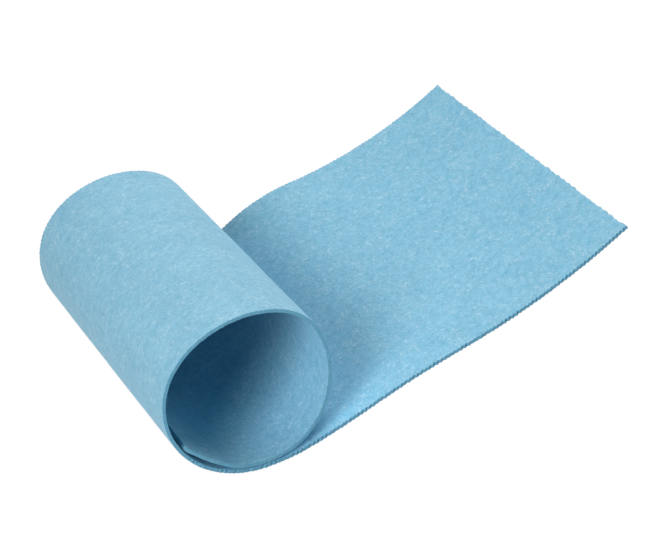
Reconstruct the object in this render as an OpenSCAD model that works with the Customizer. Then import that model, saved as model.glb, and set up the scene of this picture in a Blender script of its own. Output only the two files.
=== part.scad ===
// Cleaning cloth, one sheet of soft non-woven fibre, wound at one end into an
// open roll. Millimetres. The roll's axis runs along Y, with its near mouth at the
// low end. The free end of the sheet points along +X. The table is z = 0, and the
// origin lies on it under the middle of the cloth's extents. The cloth is a ruled
// sheet between its near and far long edges, each drawn in its own plane.

/* [Sheet] */
// width at the free end
sheet_w = 190; // [120:1:260]
// how much narrower the sheet is at its wound end
slant = 9.5; // [0:1:80]
// thickness of the cloth
sheet_t = 2; // [1:0.1:3.5]

/* [Free end] */
// straight stretch under the roll
run_l = 5.7; // [4:0.1:40]
// lengths of the four bends of the sheet, from the roll to the free end
bend_l = [12.2, 35.2, 51.7, 95.6]; // [10:0.1:120]
// angles turned by the near edge over the four bends, up is positive
near_deg = [10.4, 4.8, -5.3, 14.1]; // [-30:0.1:40]
// angles turned by the far edge over the four bends, up is positive
far_deg = [30, 6.8, -30, 21.9]; // [-30:0.1:40]

/* [Roll] */
// mean radius of the roll
roll_r = 40.4; // [26:0.1:60]
// length of cloth lapped past the full turn, as an angle round the roll
lap_deg = 65; // [20:1:85]
// space between the lapped layers
lap_gap = 0.9; // [0.5:0.1:3]
// how much smaller the roll is at its far mouth
taper = 0.006; // [0:0.001:0.12]
// how far the far mouth is lifted
far_lift = 6.5; // [0:0.1:8]
// how far the far mouth is wound on, degrees
far_twist = 3.9; // [-10:0.1:10]
// oval of the roll, over its mean radius, even and odd part
oval = [0.123, -0.052]; // [-0.15:0.001:0.15]
// three-sided form of the roll, over its mean radius, even and odd part
tri = [-0.096, 0.117]; // [-0.15:0.001:0.15]
// four-sided form of the roll, over its mean radius, even and odd part
quad = [0.123, 0.027]; // [-0.13:0.001:0.13]

/* [Rest] */
// turns that lay the wound cloth on the table, about the roll's axis and along it
rest_deg = [12.6, 2.1]; // [0:0.1:20]

/* [Pinked edges] */
// tooth pitch along the two long edges
side_pitch = 2.2; // [1.8:0.1:6]
// tooth depth along the two long edges
side_depth = 0.8; // [0.3:0.1:1.5]
// tooth pitch across the two ends
end_pitch = 5; // [3:0.1:8]
// tooth depth across the two ends
end_depth = 1.4; // [0.5:0.1:3]

/* [Colour] */
// colour of the cloth
cloth_colour = [0.55, 0.76, 0.86]; // [0:0.01:1]

/* [Hidden] */

// distance between the layers of the roll after one whole turn
wrap = sheet_t + lap_gap;
// the whole winding, in degrees from the table line
wind_deg = 360 + lap_deg;
rad = PI / 180;

// Roll: the curvature radius follows the direction u of the outward face, which
// is 0 on the table, 90 at the left and 180 at the top. It is a closed oval less
// an even inward drift of one wrap per turn, so the layers stay one wrap apart.
function wave(u) =
    oval[0] * cos(2 * u) + oval[1] * sin(2 * u)
    + tri[0] * cos(3 * u) + tri[1] * sin(3 * u)
    + quad[0] * cos(4 * u) + quad[1] * sin(4 * u);
function reach_wave(u) =
    -(oval[0] * cos(2 * u) + oval[1] * sin(2 * u)) / 3
    - (tri[0] * cos(3 * u) + tri[1] * sin(3 * u)) / 8
    - (quad[0] * cos(4 * u) + quad[1] * sin(4 * u)) / 15;
function reach_slope(u) =
    -2 * (oval[1] * cos(2 * u) - oval[0] * sin(2 * u)) / 3
    - 3 * (tri[1] * cos(3 * u) - tri[0] * sin(3 * u)) / 8
    - 4 * (quad[1] * cos(4 * u) - quad[0] * sin(4 * u)) / 15;
function bend_r(u) = roll_r * (1 + wave(u)) - wrap * u / 360;
function reach(u) = roll_r * (1 + reach_wave(u)) - wrap * u / 360;
function reach_d(u) = roll_r * reach_slope(u) - wrap / (2 * PI);
function roll_at(u) = [
    -reach(u) * sin(u) - reach_d(u) * cos(u),
    -reach(u) * cos(u) + reach_d(u) * sin(u)
];
// cloth length from the table line to direction u
function wound_l(u) =
    roll_r * (u * rad
        + (oval[0] * sin(2 * u) + oval[1] * (1 - cos(2 * u))) / 2
        + (tri[0] * sin(3 * u) + tri[1] * (1 - cos(3 * u))) / 3
        + (quad[0] * sin(4 * u) + quad[1] * (1 - cos(4 * u))) / 4)
    - wrap * u * u * rad / 720;
// direction u where the wound length is l
function turn_at(l, u, n) =
    n == 0 ? u : turn_at(l, u - (wound_l(u) - l) / (bend_r(u) * rad), n - 1);

roll_l = wound_l(wind_deg);
function sum(v, n) = n == 0 ? 0 : v[n - 1] + sum(v, n - 1);
free_l = run_l + sum(bend_l, 4);
sheet_l = free_l + roll_l;
roll_0 = roll_at(0);

// Point [x, height, angle] of an arc that leaves q at its angle and turns by da
// over its length l, after the length s of it
function arc_at(q, da, l, s) =
    let (r = l / (da * rad), b = q[2] + da * s / l)
        abs(da) < 0.01
            ? [q[0] + s * cos(q[2]), q[1] + s * sin(q[2]), b]
            : [q[0] + r * (sin(b) - sin(q[2])), q[1] + r * (cos(q[2]) - cos(b)), b];

// Middle line of one long edge of the free sheet at length s from the roll, where
// turns are its four angles and q the point where it leaves the roll
function bend_at(q, turns, s, k) =
    k == 3 || s <= bend_l[k]
        ? arc_at(q, turns[k], bend_l[k], s)
        : bend_at(arc_at(q, turns[k], bend_l[k], bend_l[k]), turns, s - bend_l[k], k + 1);
function free_at(q, turns, s) =
    s <= run_l
        ? arc_at(q, 0, run_l, s)
        : bend_at(arc_at(q, 0, run_l, run_l), turns, s - run_l, 0);
// Middle line of the roll at length l from the free sheet, drawn k times as large,
// turned by a and lifted by h
function wound_at(l, k, a, h) =
    let (u = turn_at(l, wind_deg * l / roll_l, 9), p = k * (roll_at(u) - roll_0))
        [p[0] * cos(a) - p[1] * sin(a), h + p[0] * sin(a) + p[1] * cos(a), a - u];
function near_at(s) = s >= 0 ? free_at([0, 0, 0], near_deg, s) : wound_at(-s, 1, 0, 0);
function far_at(s) =
    s >= 0
        ? free_at([0, far_lift, -far_twist], far_deg, s)
        : wound_at(-s, 1 - taper, -far_twist, far_lift);

// Corner points of the cloth at length s: near lower, near upper, far lower, far upper
function section_at(s, tooth) =
    let (
        p = near_at(s),
        q = far_at(s),
        m = sheet_t / 2 * [-sin(p[2]), cos(p[2])],
        n = sheet_t / 2 * [-sin(q[2]), cos(q[2])],
        y = sheet_w - slant * (free_l - s) / sheet_l - tooth
    ) [
        [p[0] - m[0], tooth, p[1] - m[1]],
        [p[0] + m[0], tooth, p[1] + m[1]],
        [q[0] - n[0], y, q[1] - n[1]],
        [q[0] + n[0], y, q[1] + n[1]]
    ];

// Stations half a tooth apart, between the roots of the two rows of end teeth
side_teeth = round((sheet_l - 2 * end_depth) / side_pitch);
stations = 2 * side_teeth;
step = (sheet_l - 2 * end_depth) / stations;
function station(i) =
    section_at(free_l - end_depth - i * step, i % 2 == 0 ? side_depth : 0);

// Rows across an end: roots of the teeth at even j, tips at odd j
function mix(a, b, f) = a * (1 - f) + b * f;
free_teeth = round(sheet_w / end_pitch);
wound_teeth = round((sheet_w - slant) / end_pitch);
free_root = station(0);
free_tip = section_at(free_l, side_depth);
wound_root = station(stations);
wound_tip = section_at(-roll_l, side_depth);
function row(root, tip, side, n) = [
    for (j = [1 : 2 * n - 1])
        let (e = j % 2 == 0 ? root : tip)
            mix(e[side], e[side + 2], j / (2 * n))
];

strip = [for (i = [0 : stations]) each station(i)];
free_up = row(free_root, free_tip, 1, free_teeth);
free_low = row(free_root, free_tip, 0, free_teeth);
wound_up = row(wound_root, wound_tip, 1, wound_teeth);
wound_low = row(wound_root, wound_tip, 0, wound_teeth);
base_fu = len(strip);
base_fl = base_fu + len(free_up);
base_wu = base_fl + len(free_low);
base_wl = base_wu + len(wound_up);

// Faces of one strip between neighbouring stations a and b: its two edges, and
// its upper and lower skin
function edge_faces(a) = let (b = a + 4) [
    [a, b, b + 1], [a, b + 1, a + 1],
    [a + 2, a + 3, b + 3], [a + 2, b + 3, b + 2]
];
function skin_faces(a) = let (b = a + 4) [
    [a + 1, b + 1, b + 3], [a + 1, b + 3, a + 3],
    [a, a + 2, b + 2], [a, b + 2, b]
];
// Faces of one end: the skin between the next station o and the roots of the
// teeth, and then the teeth. c is the end station, up and low the first points of
// the two rows, n the number of teeth
function end_faces(o, c, up, low, n) =
    let (
        pu = function (j) j == 0 ? c + 1 : j == 2 * n ? c + 3 : up + j - 1,
        pl = function (j) j == 0 ? c : j == 2 * n ? c + 2 : low + j - 1
    ) concat(
        [[o + 1, o + 3, c + 3], [o, c + 2, o + 2]],
        [for (j = [1 : 2 : 2 * n - 1]) each [
            [o + 1, pu(j + 1), pu(j - 1)], [o, pl(j - 1), pl(j + 1)],
            [pu(j - 1), pu(j + 1), pu(j)], [pl(j - 1), pl(j), pl(j + 1)],
            [pl(j), pl(j - 1), pu(j - 1)], [pl(j), pu(j - 1), pu(j)],
            [pl(j), pu(j), pu(j + 1)], [pl(j), pu(j + 1), pl(j + 1)]
        ]]
    );
function flip(faces) = [for (f = faces) [f[2], f[1], f[0]]];

// The cloth laid down: turned to rest on its lowest points, the table at z = 0 and
// the origin under the middle of its extents
loose = concat(strip, free_up, free_low, wound_up, wound_low);
function lay(p) =
    let (
        c = cos(rest_deg[0]), s = sin(rest_deg[0]),
        x = p[0] * c + p[2] * s, z = p[2] * c - p[0] * s,
        d = cos(rest_deg[1]), t = sin(rest_deg[1])
    ) [x, p[1] * d + z * t, z * d - p[1] * t];
laid = [for (p = loose) lay(p)];
function low(k) = min([for (p = laid) p[k]]);
function high(k) = max([for (p = laid) p[k]]);

module cloth_sheet() {
    color(cloth_colour)
        translate([-(low(0) + high(0)) / 2, -(low(1) + high(1)) / 2, -low(2)])
            polyhedron(
                points = laid,
                faces = concat(
                    [for (i = [0 : stations - 1]) each edge_faces(4 * i)],
                    [for (i = [1 : stations - 2]) each skin_faces(4 * i)],
                    end_faces(4, 0, base_fu, base_fl, free_teeth),
                    flip(end_faces(4 * (stations - 1), 4 * stations,
                        base_wu, base_wl, wound_teeth))
                )
            );
}

cloth_sheet();
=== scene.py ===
"""Cleaning cloth: one sheet of non-woven fibre, wound at one end into an open roll.

The cloth's form is built in mm, as in part.scad, and its mesh is made in metres.
s is the length along the sheet, 0 where it leaves the roll, growing towards the free
end and negative on the roll. v is the place over its width, 0 at the near edge and 1
at the far one. Points are (x, y, z), and edge points (x, z, angle).
"""
import bpy
import bmesh
from math import sin, cos, pi, radians
from mathutils import Vector, Matrix, noise


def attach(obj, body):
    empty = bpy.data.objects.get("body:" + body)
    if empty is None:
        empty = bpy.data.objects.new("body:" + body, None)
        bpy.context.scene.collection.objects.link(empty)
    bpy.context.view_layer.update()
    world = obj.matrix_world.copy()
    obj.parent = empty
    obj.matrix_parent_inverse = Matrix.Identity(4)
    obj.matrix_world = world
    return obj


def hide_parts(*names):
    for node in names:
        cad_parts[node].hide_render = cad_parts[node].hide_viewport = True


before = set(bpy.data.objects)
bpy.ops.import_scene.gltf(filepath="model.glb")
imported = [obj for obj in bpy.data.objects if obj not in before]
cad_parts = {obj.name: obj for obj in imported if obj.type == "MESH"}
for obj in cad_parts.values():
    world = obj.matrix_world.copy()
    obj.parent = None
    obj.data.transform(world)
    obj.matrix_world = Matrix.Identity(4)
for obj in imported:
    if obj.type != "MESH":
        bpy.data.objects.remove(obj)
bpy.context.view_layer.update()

# ---------------------------------------------------------------- sizes, as in part.scad
MM = 0.001
SHEET_W, SLANT, SHEET_T = 190.0, 9.5, 2.0
RUN_L = 5.7
BEND_L = (12.2, 35.2, 51.7, 95.6)
NEAR_DEG = (10.4, 4.8, -5.3, 14.1)
FAR_DEG = (30.0, 6.8, -30.0, 21.9)
ROLL_R, LAP, LAP_GAP = 40.4, radians(65), 0.9
TAPER, FAR_LIFT, FAR_TWIST = 0.006, 6.5, radians(3.9)
WAVES = {2: (0.123, -0.052), 3: (-0.096, 0.117), 4: (0.123, 0.027)}
REST = (radians(12.6), radians(2.1))
SIDE_PITCH, SIDE_DEPTH, END_PITCH, END_DEPTH = 2.2, 0.8, 5.0, 1.4
WRAP = SHEET_T + LAP_GAP
WIND = 2 * pi + LAP

# ---------------------------------------------------------------- sag, wear and relief
# how far the inner layer sags towards the outer one, at lengths wound from s = 0
SAG = ((215, 0.0), (236, 0.55), (258, 0.5), (271, -0.8), (280, -0.8), (290, 0.55))
# teeth of the long edges over SIDE_DEPTH: full, worn on the near edge of the roll, and
# the share left to chance; the wear grows from s = WEAR_FROM to s = WEAR_TO
SIDE_CUT, WORN_CUT, SIDE_CHANCE = 0.95, 0.45, 0.25
WEAR_FROM, WEAR_TO = -30, -60
# reach of the two ends over END_DEPTH: at a tooth's root, and the tooth on it, its
# steady part and the part left to chance
END_ROOT, END_TOOTH, END_CHANCE = 0.45, 0.35, 0.2
# slow relief that both skins share: height, waves per mm and place in the noise
SLOW_H, SLOW_RATE, SLOW_AT = 0.132, 0.02, 3.7
# fine relief of each skin: two heights, the first one's waves per mm, how much finer
# the second one is, the place in the noise, and the height at which it is cut off
FINE_H, FINE_RATE, FINER, FINE_AT, FINE_TOP = (0.07, 0.05), 0.35, 2.3, 11.0, 0.06
# at the rims the skins close in to RIM_THIN of the thickness over the last RIM_SOFT,
# the rim stands out by RIM_OUT, and no point comes nearer to the table than CLEAR
RIM_THIN, RIM_SOFT, RIM_OUT, CLEAR = 0.86, 1.6, 0.1, 0.02
# the rows next to the toothed ends stay clear of them by this share of a step
END_ROOM = 0.4
# rows over which the columns pass from even places to the wound end's teeth
BLEND_ROWS = 12
# an edge that turns by more than this, in radians, is shaded sharp
SHARP = 1.1
# what each draw of chance is for
CHANCE_NEAR, CHANCE_FAR, CHANCE_END = 1, 2, 5
# a bend that turns by less than this, in radians, is straight
STRAIGHT = 1e-4
NEWTON_STEPS = 12


# ---------------------------------------------------------------- form of the cloth
def bend_r(u):
    """Radius of the roll's bend where its outward face has the direction u."""
    w = sum(a * cos(k * u) + b * sin(k * u) for k, (a, b) in WAVES.items())
    return ROLL_R * (1 + w) - WRAP * u / (2 * pi)


def roll_at(u):
    """Middle line of the roll at the direction u: across and up."""
    h = ROLL_R - WRAP * u / (2 * pi)
    d = -WRAP / (2 * pi)
    for k, (a, b) in WAVES.items():
        g = ROLL_R / (1 - k * k)
        h += g * (a * cos(k * u) + b * sin(k * u))
        d += g * k * (b * cos(k * u) - a * sin(k * u))
    return (-h * sin(u) - d * cos(u), -h * cos(u) + d * sin(u))


def wound_l(u):
    """Length of cloth wound from the table line to the direction u."""
    s = u
    for k, (a, b) in WAVES.items():
        s += (a * sin(k * u) + b * (1 - cos(k * u))) / k
    return ROLL_R * s - WRAP * u * u / (4 * pi)


ROLL_L = wound_l(WIND)
FREE_L = RUN_L + sum(BEND_L)
SHEET_L = FREE_L + ROLL_L
ROLL_0 = roll_at(0)


def turn_at(length):
    """Direction u where the wound length is the given one, by Newton's method."""
    u = WIND * length / ROLL_L
    for _ in range(NEWTON_STEPS):
        u -= (wound_l(u) - length) / bend_r(u)
    return u


def arc(q, da, length, s):
    """Point s along an arc that leaves q and turns by da over its length."""
    b = q[2] + da * s / length
    if abs(da) < STRAIGHT:
        return (q[0] + s * cos(q[2]), q[1] + s * sin(q[2]), b)
    r = length / da
    return (q[0] + r * (sin(b) - sin(q[2])), q[1] + r * (cos(q[2]) - cos(b)), b)


def free_at(q, turns, s):
    """Point of one long edge, s along it from q, where it leaves the roll."""
    steps = [(RUN_L, 0.0)] + list(zip(BEND_L, turns))
    for length, deg in steps[:-1]:
        if s <= length:
            return arc(q, radians(deg), length, s)
        q = arc(q, radians(deg), length, length)
        s -= length
    length, deg = steps[-1]
    return arc(q, radians(deg), length, s)


def wound_at(length, k, a, h):
    """Point of the roll, drawn k times as large, turned by a and lifted by h."""
    u = turn_at(length)
    p = roll_at(u)
    x, z = k * (p[0] - ROLL_0[0]), k * (p[1] - ROLL_0[1])
    return (x * cos(a) - z * sin(a), h + x * sin(a) + z * cos(a), a - u)


def near_at(s):
    return free_at((0, 0, 0), NEAR_DEG, s) if s >= 0 else wound_at(-s, 1, 0, 0)


def far_at(s):
    if s >= 0:
        return free_at((0, FAR_LIFT, -FAR_TWIST), FAR_DEG, s)
    return wound_at(-s, 1 - TAPER, -FAR_TWIST, FAR_LIFT)


def far_y(s):
    """Width of the sheet at length s."""
    return SHEET_W - SLANT * (FREE_L - s) / SHEET_L


def sag(s):
    """How far the cloth sinks towards its outer side at length s."""
    for (p, u), (q, w) in zip(SAG, SAG[1:]):
        if p <= -s <= q:
            t = (-s - p) / (q - p)
            return u + (w - u) * t * t * (3 - 2 * t)
    return 0.0


class Section:
    """Cut across the cloth at length s, w wide."""

    def __init__(self, s):
        (nx, nz, na), (fx, fz, fa) = near_at(s), far_at(s)
        d = sag(s)
        self.s, self.w = s, far_y(s)
        self.near = (nx + sin(na) * d, nz - cos(na) * d)
        self.far = (fx + sin(fa) * d, fz - cos(fa) * d)
        self.near_up = (-sin(na), cos(na))
        self.far_up = (-sin(fa), cos(fa))

    def point(self, v, y, off):
        """Point at the place v, off from the middle towards the upper skin."""
        (nx, nz), (fx, fz) = self.near, self.far
        (ax, az), (bx, bz) = self.near_up, self.far_up
        ux, uz = ax + (bx - ax) * v, az + (bz - az) * v
        return (nx + (fx - nx) * v + ux * off, y, nz + (fz - nz) * v + uz * off)


def lay(p):
    """Turn a point of the loose cloth into its resting pose."""
    c, t = cos(REST[0]), sin(REST[0])
    x, z = p[0] * c + p[2] * t, p[2] * c - p[0] * t
    c, t = cos(REST[1]), sin(REST[1])
    return Vector((x, p[1] * c + z * t, z * c - p[1] * t))


# the solid's stations, half a side tooth apart, and the columns over its width
STATIONS = 2 * round((SHEET_L - 2 * END_DEPTH) / SIDE_PITCH)
STEP = (SHEET_L - 2 * END_DEPTH) / STATIONS
FREE_TEETH = round(SHEET_W / END_PITCH)
WOUND_TEETH = round((SHEET_W - SLANT) / END_PITCH)
LAST_COL = 2 * FREE_TEETH
# the mesh has a row for each station and one more for the teeth of each end
ROWS, COLS = STATIONS + 3, LAST_COL + 1


def solid_corners():
    """The part's four long edges with their teeth, which set its place in the frame."""
    cuts = [(FREE_L, SIDE_DEPTH), (-ROLL_L, SIDE_DEPTH)]
    cuts += [(FREE_L - END_DEPTH - i * STEP, SIDE_DEPTH if i % 2 == 0 else 0.0)
             for i in range(STATIONS + 1)]
    points = []
    for s, cut in cuts:
        c = Section(s)
        for off in (-SHEET_T / 2, SHEET_T / 2):
            points.append(lay(c.point(0, cut, off)))
            points.append(lay(c.point(1, c.w - cut, off)))
    return points


CORNERS = solid_corners()
LOW = [min(p[k] for p in CORNERS) for k in range(3)]
HIGH = [max(p[k] for p in CORNERS) for k in range(3)]
SHIFT = Vector((-(LOW[0] + HIGH[0]) / 2, -(LOW[1] + HIGH[1]) / 2, -LOW[2]))


# ---------------------------------------------------------------- teeth and relief
def scatter(n, use):
    """Number in 0..1 by chance, the same each run, from two whole numbers."""
    return noise.cell(Vector((n + 0.5, use + 0.5, 0.5)))


def end_cut(x, j):
    """Reach of an end over END_DEPTH in column j, x teeth along it."""
    wave = 1 - abs(2 * (x % 1.0) - 1)
    return END_ROOT + (END_TOOTH + END_CHANCE * scatter(j, CHANCE_END)) * wave


def near_cut(s):
    """Depth of the near edge's teeth over SIDE_DEPTH at length s."""
    new = max(0.0, min(1.0, (s - WEAR_TO) / (WEAR_FROM - WEAR_TO)))
    return WORN_CUT + (SIDE_CUT - WORN_CUT) * new


def slow_relief(s, y):
    return noise.noise(Vector((s * SLOW_RATE, y * SLOW_RATE, SLOW_AT))) * SLOW_H


def fine_relief(s, y, side):
    q = Vector((s * FINE_RATE, y * FINE_RATE, FINE_AT * side))
    return noise.noise(q) * FINE_H[0] + noise.noise(q * FINER) * FINE_H[1]


def toothed_columns():
    """Places on the roots and tips of the wound end's teeth, with some between them to
    make up the number of columns."""
    n = 2 * WOUND_TEETH
    spare = LAST_COL - n
    between = [(int((e + 0.5) * n / spare) + 0.5) / n for e in range(spare)]
    return sorted([k / n for k in range(n + 1)] + between)


EVEN_V = [j / LAST_COL for j in range(COLS)]
TOOTHED_V = toothed_columns()


# ---------------------------------------------------------------- mesh of the cloth
def row_sections(r):
    """Section of each column in row r; the first and last row are the ends' teeth."""
    if r == 0:
        return [Section(FREE_L - END_DEPTH + END_DEPTH * end_cut(v * FREE_TEETH, j))
                for j, v in enumerate(EVEN_V)]
    if r == ROWS - 1:
        return [Section(-ROLL_L + END_DEPTH - END_DEPTH * end_cut(v * WOUND_TEETH, j))
                for j, v in enumerate(TOOTHED_V)]
    s = FREE_L - END_DEPTH - (r - 1) * STEP
    if r == 1:
        s -= END_ROOM * STEP
    if r == ROWS - 2:
        s += END_ROOM * STEP
    return [Section(s)] * COLS


def middle_surface():
    """Rows of (section, v, y), on the middle of the cloth's thickness."""
    rows = []
    for r in range(ROWS):
        root = r in (0, ROWS - 1) or r % 2 == 1
        blend = max(0.0, min(1.0, (r - (ROWS - 2 - BLEND_ROWS)) / BLEND_ROWS))
        near_chance = SIDE_CHANCE * scatter(r, CHANCE_NEAR)
        far_chance = SIDE_CHANCE * scatter(r, CHANCE_FAR)
        row = []
        for j, c in enumerate(row_sections(r)):
            v = EVEN_V[j] * (1 - blend) + TOOTHED_V[j] * blend
            near = SIDE_DEPTH * ((near_cut(c.s) if root else 0.0) + near_chance)
            far = SIDE_DEPTH * ((SIDE_CUT if root else 0.0) + far_chance)
            y = near + v * (c.w - near - far)
            # the two corners of the free end are whole
            if r == 0 and j == 0:
                c, y = Section(FREE_L), 0.0
            elif r == 0 and j == LAST_COL:
                c, y = Section(FREE_L), c.w
            row.append((c, v, y))
        rows.append(row)
    return rows


def build_cloth():
    middle = middle_surface()
    verts, flat, faces = [], [], []

    def add(c, v, y, off, at):
        """New vertex, off from the middle of section c; `at` is its flat place."""
        p = lay(c.point(v, y, off)) + SHIFT
        p.z = max(p.z, CLEAR)
        verts.append(p * MM)
        flat.append((at[0] * MM, at[1] * MM))
        return len(verts) - 1

    for side in (1, -1):
        for row in middle:
            for c, v, y in row:
                inward = min(y, c.w - y, FREE_L - c.s, c.s + ROLL_L) / RIM_SOFT
                full = max(0.0, min(1.0, inward))
                half = SHEET_T / 2 * (RIM_THIN + (1 - RIM_THIN) * full)
                pits = min(0.0, fine_relief(c.s, y, side) - FINE_TOP)
                add(c, v, y, side * (half + pits) + slow_relief(c.s, y), (c.s, y))

    def rim_vertex(r, j, out_s, out_y):
        """Vertex on the rim between the skins, out from the middle surface's edge."""
        c, v, y = middle[r][j]
        out = Section(max(-ROLL_L, min(FREE_L, c.s + out_s))) if out_s else c
        return add(out, v, y + out_y, slow_relief(c.s, y), (c.s, y))

    def upper(r, j):
        return r * COLS + j

    def lower(r, j):
        return (ROWS + r) * COLS + j

    for r in range(ROWS - 1):
        for j in range(LAST_COL):
            quad = ((r, j), (r, j + 1), (r + 1, j + 1), (r + 1, j))
            faces.append([upper(*quad[k]) for k in (0, 1, 2, 3)])
            faces.append([lower(*quad[k]) for k in (0, 3, 2, 1)])
    skin_faces = len(faces)

    ring = ([(r, 0, 0, -RIM_OUT) for r in range(ROWS)]
            + [(ROWS - 1, j, -RIM_OUT, 0) for j in range(1, LAST_COL)]
            + [(r, LAST_COL, 0, RIM_OUT) for r in range(ROWS - 1, -1, -1)]
            + [(0, j, RIM_OUT, 0) for j in range(LAST_COL - 1, 0, -1)])
    rim = [(r, j, rim_vertex(r, j, out_s, out_y)) for r, j, out_s, out_y in ring]
    for (ra, ja, a), (rb, jb, b) in zip(rim, rim[1:] + rim[:1]):
        faces.append((upper(ra, ja), upper(rb, jb), b, a))
        faces.append((a, b, lower(rb, jb), lower(ra, ja)))

    mesh = bpy.data.meshes.new("cloth_fibre_sheet")
    mesh.from_pydata(verts, [], faces)
    mesh.uv_layers.new(name="flat")
    mesh.attributes.new("rim", "FLOAT", "CORNER")
    mesh.attributes.new("outer_skin", "FLOAT", "CORNER")
    # fetched only now: a new attribute makes earlier references to others stale
    uv = mesh.uv_layers["flat"]
    on_rim, on_outer = mesh.attributes["rim"], mesh.attributes["outer_skin"]
    for poly in mesh.polygons:
        poly.use_smooth = True
        skin = poly.index < skin_faces
        for corner in poly.loop_indices:
            uv.data[corner].uv = flat[mesh.loops[corner].vertex_index]
            # rim faces are marked: the material paints shade on them
            on_rim.data[corner].value = 0.0 if skin else 1.0
            # the two skins' faces take turns, and the lower skin is outside on the roll;
            # it gets a paler tint, partly its own tone and partly painted sheen
            on_outer.data[corner].value = 1.0 if skin and poly.index % 2 else 0.0
    obj = bpy.data.objects.new("cloth_fibre_sheet", mesh)
    bpy.context.collection.objects.link(obj)
    return obj


def shade_edges(obj):
    """Faces turned outwards, and sharp edges marked."""
    bm = bmesh.new()
    bm.from_mesh(obj.data)
    bmesh.ops.recalc_face_normals(bm, faces=bm.faces)
    for e in bm.edges:
        if len(e.link_faces) == 2 and e.calc_face_angle(0) > SHARP:
            e.smooth = False
    bm.to_mesh(obj.data)
    bm.free()


cloth = build_cloth()
shade_edges(cloth)

# ---------------------------------------------------------------- looks of the cloth
GLOSS = {"Roughness": 0.62, "Specular IOR Level": 0.3, "Sheen Weight": 0.05,
         "Sheen Roughness": 0.5}
DARK_BLUE, LIGHT_BLUE = (0.158, 0.458, 0.653), (0.252, 0.588, 0.777)
# the rim's blue is darker: painted shade on the cut edges and the sides of their teeth
SHADE_BLUE, RIM_SHADE_BLUE = (0.135, 0.400, 0.573), (0.085, 0.300, 0.450)
# the haze colour is also the outer skin's tint, partly its own tone and partly painted
# sheen
FIBRE, PALE_FIBRE, HAZE_AND_SHEEN = (0.46, 0.77, 0.95), (0.66, 0.82, 0.90), (0.60, 0.76, 0.85)
# layers of fibres: cell that each fibre lies in, half length and half width, in mm,
# and the layer's shift, in cells
FLECKS = ((3.3, 1.5, 0.5, 0.0, 0.0), (2.7, 1.1, 0.55, 3.7, 1.3),
          (2.2, 0.8, 0.5, 7.4, 2.6), (1.9, 0.7, 0.45, 11.1, 3.9))
STRANDS = ((9.0, 4.6, 0.42, 20.0, 40.0), (7.0, 3.4, 0.4, 29.1, 45.3),
           (4.1, 1.8, 0.5, 38.2, 50.6), (4.9, 1.5, 0.8, 47.3, 55.9))
SHADES = ((2.9, 1.3, 0.45, 51.0, 7.0), (1.7, 0.8, 0.35, 11.0, 77.0))
# a fibre is full inside this share of its reach, and the faintest has this strength
FIBRE_CORE, FAINTEST = 0.2, 0.1
# most that crossing flecks add up to
FLECKS_MOST = 1.3
# clouds over the flat sheet: waves per metre and detail
CLOUDS = {"shake": (420, 1.0), "blot": (260, 3.0), "wide_blot": (38, 2.0),
          "fine": (1500, 2.0), "patch": (100, 1.5), "small_patch": (330, 1.5)}
# middle of a cloud's colours, and how far the shake cloud's whole range bends fibres
MID_GREY, BEND_M = (0.5, 0.5, 0.5), 0.0008
# shares of the clouds in the base tone, and the tones of the darkest and lightest blue
BLOT_SHARE, WIDE_SHARE, FINE_SHARE = 0.5, 0.2, 0.3
DARK_TONE, LIGHT_TONE = 0.34, 0.66
# range of the patch clouds, and most haze of patches and small patches, and the outer
# skin's paler tint, partly its own tone and partly painted sheen
PATCH_LOW, PATCH_HIGH = 0.3, 0.7
PATCH_HAZE, SMALL_HAZE, OUTER_PALE_AND_SHEEN = 0.07, 0.09, 0.07
# how strongly shades, flecks and the painted shade of the cut rim cover what is under
# them
SHADE_MIX, FLECK_MIX, RIM_SHADE_MIX = 0.35, 0.34, 0.8
# strands lie thicker in patches: range of the patch cloud, least and most cover
THICK = (0.38, 0.62, 0.17, 0.42)
# bump: height of flecks, of the fine cloud and of shades, strength, and distance in m
FLECK_HIGH, FINE_HIGH, SHADE_DEEP = 0.6, 0.7, 0.3
BUMP, BUMP_M = 0.45, 0.0003


def node(nt, kind, **kw):
    n = nt.nodes.new(kind)
    for k, v in kw.items():
        setattr(n, k, v)
    return n


def empty_tree(owner):
    """Node tree of a material or world, with nothing in it."""
    owner.use_nodes = True
    owner.node_tree.nodes.clear()
    return owner.node_tree


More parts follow.
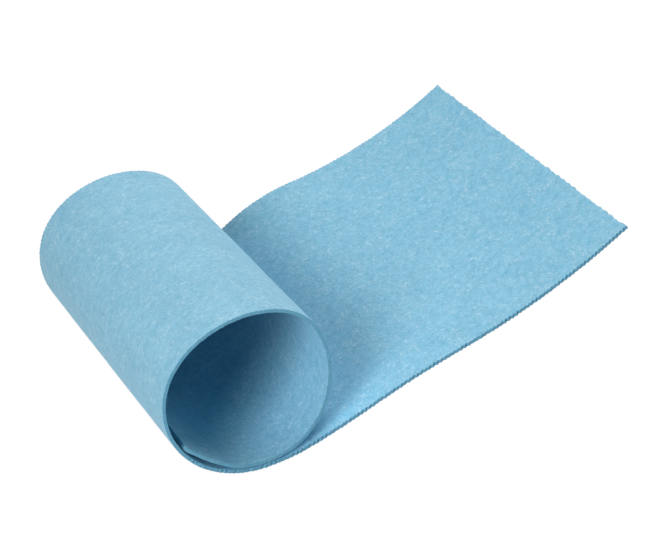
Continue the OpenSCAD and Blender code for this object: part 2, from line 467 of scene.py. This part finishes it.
def cloth_material():
    m = bpy.data.materials.new("cloth_fibre")
    nt = empty_tree(m)
    link = nt.links.new
    out = node(nt, "ShaderNodeOutputMaterial")
    bsdf = node(nt, "ShaderNodeBsdfPrincipled")
    link(bsdf.outputs[0], out.inputs[0])
    for key, x in GLOSS.items():
        bsdf.inputs[key].default_value = x
    # the sheet's own flat surface, in metres
    sheet = node(nt, "ShaderNodeUVMap", uv_map="flat").outputs[0]

    def maths(op, a, b):
        n = node(nt, "ShaderNodeMath", operation=op)
        for k, x in enumerate((a, b)):
            if isinstance(x, (int, float)):
                n.inputs[k].default_value = x
            else:
                link(x, n.inputs[k])
        return n.outputs[0]

    def plus(a, b):
        return maths("ADD", a, b)

    def times(a, b):
        return maths("MULTIPLY", a, b)

    def vecs(op, a, b=None, out="Vector"):
        n = node(nt, "ShaderNodeVectorMath", operation=op)
        for k, x in enumerate((a, b)):
            if isinstance(x, tuple):
                n.inputs[k].default_value = x
            elif x is not None:
                link(x, n.inputs[k])
        return n.outputs[out]

    def ramp(src, lo, hi, a=0.0, b=1.0, kind="LINEAR"):
        """Value from a to b as src goes from lo to hi."""
        n = node(nt, "ShaderNodeMapRange", interpolation_type=kind)
        for key, x in (("From Min", lo), ("From Max", hi), ("To Min", a), ("To Max", b)):
            n.inputs[key].default_value = x
        link(src, n.inputs["Value"])
        return n.outputs["Result"]

    def cloud(name, out="Fac"):
        n = node(nt, "ShaderNodeTexNoise", noise_dimensions="2D")
        n.inputs["Scale"].default_value, n.inputs["Detail"].default_value = CLOUDS[name]
        link(sheet, n.inputs["Vector"])
        return n.outputs[out]

    def mixed(fac, under, colour):
        n = node(nt, "ShaderNodeMix", data_type="RGBA")
        n.inputs["B"].default_value = (*colour, 1)
        link(under, n.inputs["A"])
        link(fac, n.inputs["Factor"])
        return n.outputs["Result"]

    # shaken a little, so that fibres bend
    swing = vecs("SUBTRACT", cloud("shake", "Color"), MID_GREY)
    bent = vecs("ADD", sheet, vecs("MULTIPLY", swing, (BEND_M, BEND_M, 0.0)))

    def fibres(cell, long, wide, shift_x, shift_y):
        """One fibre in each cell, turned its own way, of its own strength."""
        per_m = 1 / (cell * MM)
        in_cells = vecs("MULTIPLY", bent, (per_m, per_m, 0.0))
        at = vecs("ADD", in_cells, (shift_x, shift_y, 0.0))
        cells = node(nt, "ShaderNodeTexVoronoi", voronoi_dimensions="2D", feature="F1")
        cells.inputs["Scale"].default_value = 1.0
        link(at, cells.inputs["Vector"])
        chance = node(nt, "ShaderNodeSeparateColor")
        link(cells.outputs["Color"], chance.inputs[0])
        turn = node(nt, "ShaderNodeVectorRotate", rotation_type="Z_AXIS")
        link(vecs("SUBTRACT", at, cells.outputs["Position"]), turn.inputs["Vector"])
        link(times(chance.outputs[0], 2 * pi), turn.inputs["Angle"])
        stretched = vecs("MULTIPLY", turn.outputs[0], (cell / long, cell / wide, 0.0))
        reach = vecs("LENGTH", stretched, out="Value")
        return times(ramp(reach, 1.0, FIBRE_CORE, kind="SMOOTHSTEP"),
                     ramp(chance.outputs[1], FAINTEST, 1.0, FAINTEST, 1.0))

    def layers(table):
        total = None
        for row in table:
            layer = fibres(*row)
            total = layer if total is None else plus(total, layer)
        return total

    light = maths("MINIMUM", layers(FLECKS), FLECKS_MOST)
    pale = layers(STRANDS)
    dark = layers(SHADES)
    blot, wide_blot, fine = cloud("blot"), cloud("wide_blot"), cloud("fine")
    tone = plus(times(blot, BLOT_SHARE),
                plus(times(wide_blot, WIDE_SHARE), times(fine, FINE_SHARE)))
    base = node(nt, "ShaderNodeValToRGB")
    stops = ((DARK_TONE, DARK_BLUE), (LIGHT_TONE, LIGHT_BLUE))
    for stop, (tone_at, colour) in zip(base.color_ramp.elements, stops):
        stop.position = tone_at
        stop.color = (*colour, 1)
    link(tone, base.inputs[0])
    col = mixed(times(dark, SHADE_MIX), base.outputs[0], SHADE_BLUE)

    # pale haze in patches, and a paler tint on the outer skin: partly its own tone,
    # partly painted sheen
    outer = node(nt, "ShaderNodeAttribute", attribute_name="outer_skin").outputs["Fac"]
    patch, small_patch = cloud("patch"), cloud("small_patch")
    haze = plus(ramp(patch, PATCH_LOW, PATCH_HIGH, 0.0, PATCH_HAZE),
                ramp(small_patch, PATCH_LOW, PATCH_HIGH, 0.0, SMALL_HAZE))
    col = mixed(plus(haze, times(outer, OUTER_PALE_AND_SHEEN)), col, HAZE_AND_SHEEN)
    col = mixed(times(light, FLECK_MIX), col, FIBRE)
    col = mixed(times(pale, ramp(patch, *THICK, kind="SMOOTHSTEP")), col, PALE_FIBRE)
    # painted shade: the rim faces between the skins are darkened towards a deep blue
    rim = node(nt, "ShaderNodeAttribute", attribute_name="rim").outputs["Fac"]
    col = mixed(times(rim, RIM_SHADE_MIX), col, RIM_SHADE_BLUE)
    link(col, bsdf.inputs["Base Color"])

    # strands stay out of the height: many more layers here make the shader too large
    # for the renderer, which then shows the cloth black
    uneven = maths("SUBTRACT", times(fine, FINE_HIGH), times(dark, SHADE_DEEP))
    bump = node(nt, "ShaderNodeBump")
    bump.inputs["Strength"].default_value = BUMP
    bump.inputs["Distance"].default_value = BUMP_M
    link(plus(times(light, FLECK_HIGH), uneven), bump.inputs["Height"])
    link(bump.outputs[0], bsdf.inputs["Normal"])
    return m


cloth.data.materials.append(cloth_material())
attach(cloth, "root")
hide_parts("cloth_sheet")

# ---------------------------------------------------------------- floor and background
# the floor lies a little under the table plane, so that the cloth doesn't cut into it
FLOOR_SIZE, FLOOR_Z = 8, -0.0002
FLOOR_GREY, SKY, SKY_STRENGTH = (0.85, 0.86, 0.87), (0.95, 0.98, 1.0), 0.01
WHITE = (1, 1, 1)


def coloured(nt, kind, colour):
    n = node(nt, kind)
    n.inputs["Color"].default_value = (*colour, 1)
    return n


def split_rays(nt, out_kind, lit, seen):
    """The camera's own rays get the shader `seen`, and all other light gets `lit`."""
    out = node(nt, out_kind)
    mix = node(nt, "ShaderNodeMixShader")
    path = node(nt, "ShaderNodeLightPath")
    nt.links.new(path.outputs["Is Camera Ray"], mix.inputs[0])
    nt.links.new(lit.outputs[0], mix.inputs[1])
    nt.links.new(seen.outputs[0], mix.inputs[2])
    nt.links.new(mix.outputs[0], out.inputs[0])


bpy.ops.mesh.primitive_plane_add(size=FLOOR_SIZE, location=(0, 0, FLOOR_Z))
floor = bpy.context.object
floor.name = "floor"
floor_white = bpy.data.materials.new("floor_white")
tree = empty_tree(floor_white)
split_rays(tree, "ShaderNodeOutputMaterial",
           coloured(tree, "ShaderNodeBsdfDiffuse", FLOOR_GREY),
           coloured(tree, "ShaderNodeEmission", WHITE))
floor.data.materials.append(floor_white)

world = bpy.data.worlds.new("studio")
bpy.context.scene.world = world
tree = empty_tree(world)
soft = coloured(tree, "ShaderNodeBackground", SKY)
soft.inputs["Strength"].default_value = SKY_STRENGTH
split_rays(tree, "ShaderNodeOutputWorld", soft,
           coloured(tree, "ShaderNodeBackground", WHITE))

# ---------------------------------------------------------------- lights
# each light's azimuth from +Y towards +X and its height over the table in degrees, and
# its watts; all are discs of one size, at one distance from the point that they face
LIGHTS = {"key": (225, 40, 17.5), "key_low": (225, 25, 2.8), "back_top": (50, 55, 11.6),
          "back": (60, 10, 1.5), "right": (90, 10, 11.3), "top": (130, 78, 1.7)}
LIGHT_SIZE, LIGHT_FAR = 0.9, 1.6
LIGHT_AIM = Vector((-0.03, 0, 0.03))

for name, (azimuth, height, watts) in LIGHTS.items():
    a, e = radians(azimuth), radians(height)
    away = Vector((cos(e) * sin(a), cos(e) * cos(a), sin(e)))
    lamp = bpy.data.lights.new(name, "AREA")
    lamp.shape = "DISK"
    lamp.size = LIGHT_SIZE
    lamp.energy = watts
    light = bpy.data.objects.new(name, lamp)
    place = LIGHT_AIM + LIGHT_FAR * away
    light.location = place
    light.rotation_euler = (LIGHT_AIM - place).to_track_quat("-Z", "Y").to_euler()
    bpy.context.collection.objects.link(light)

# ---------------------------------------------------------------- photograph's camera
# azimuth from +Y towards +X, downward tilt and roll; focal length in photograph pixels
CAM_AT = Vector((-0.230310, -1.105119, 0.694372))
CAM_AZ, CAM_DOWN, CAM_ROLL = radians(11.8200), radians(31.1411), radians(-25.9773)
FOCAL_PX, PHOTO_W_PX, SENSOR_MM = 2714.59, 666, 36.0

ahead = Vector((cos(CAM_DOWN) * sin(CAM_AZ), cos(CAM_DOWN) * cos(CAM_AZ), -sin(CAM_DOWN)))
level = ahead.cross(Vector((0, 0, 1))).normalized()
upright = level.cross(ahead)
right = cos(CAM_ROLL) * level + sin(CAM_ROLL) * upright
up = -sin(CAM_ROLL) * level + cos(CAM_ROLL) * upright
cam_data = bpy.data.cameras.new("photo_camera")
cam = bpy.data.objects.new("photo_camera", cam_data)
turned = Matrix((right, up, -ahead)).transposed().to_4x4()
cam.matrix_world = Matrix.Translation(CAM_AT) @ turned
cam_data.sensor_fit = "HORIZONTAL"
cam_data.sensor_width = SENSOR_MM
cam_data.lens = FOCAL_PX / PHOTO_W_PX * SENSOR_MM
bpy.context.collection.objects.link(cam)
bpy.context.scene.camera = cam
bpy.context.scene.view_settings.view_transform = "Standard"
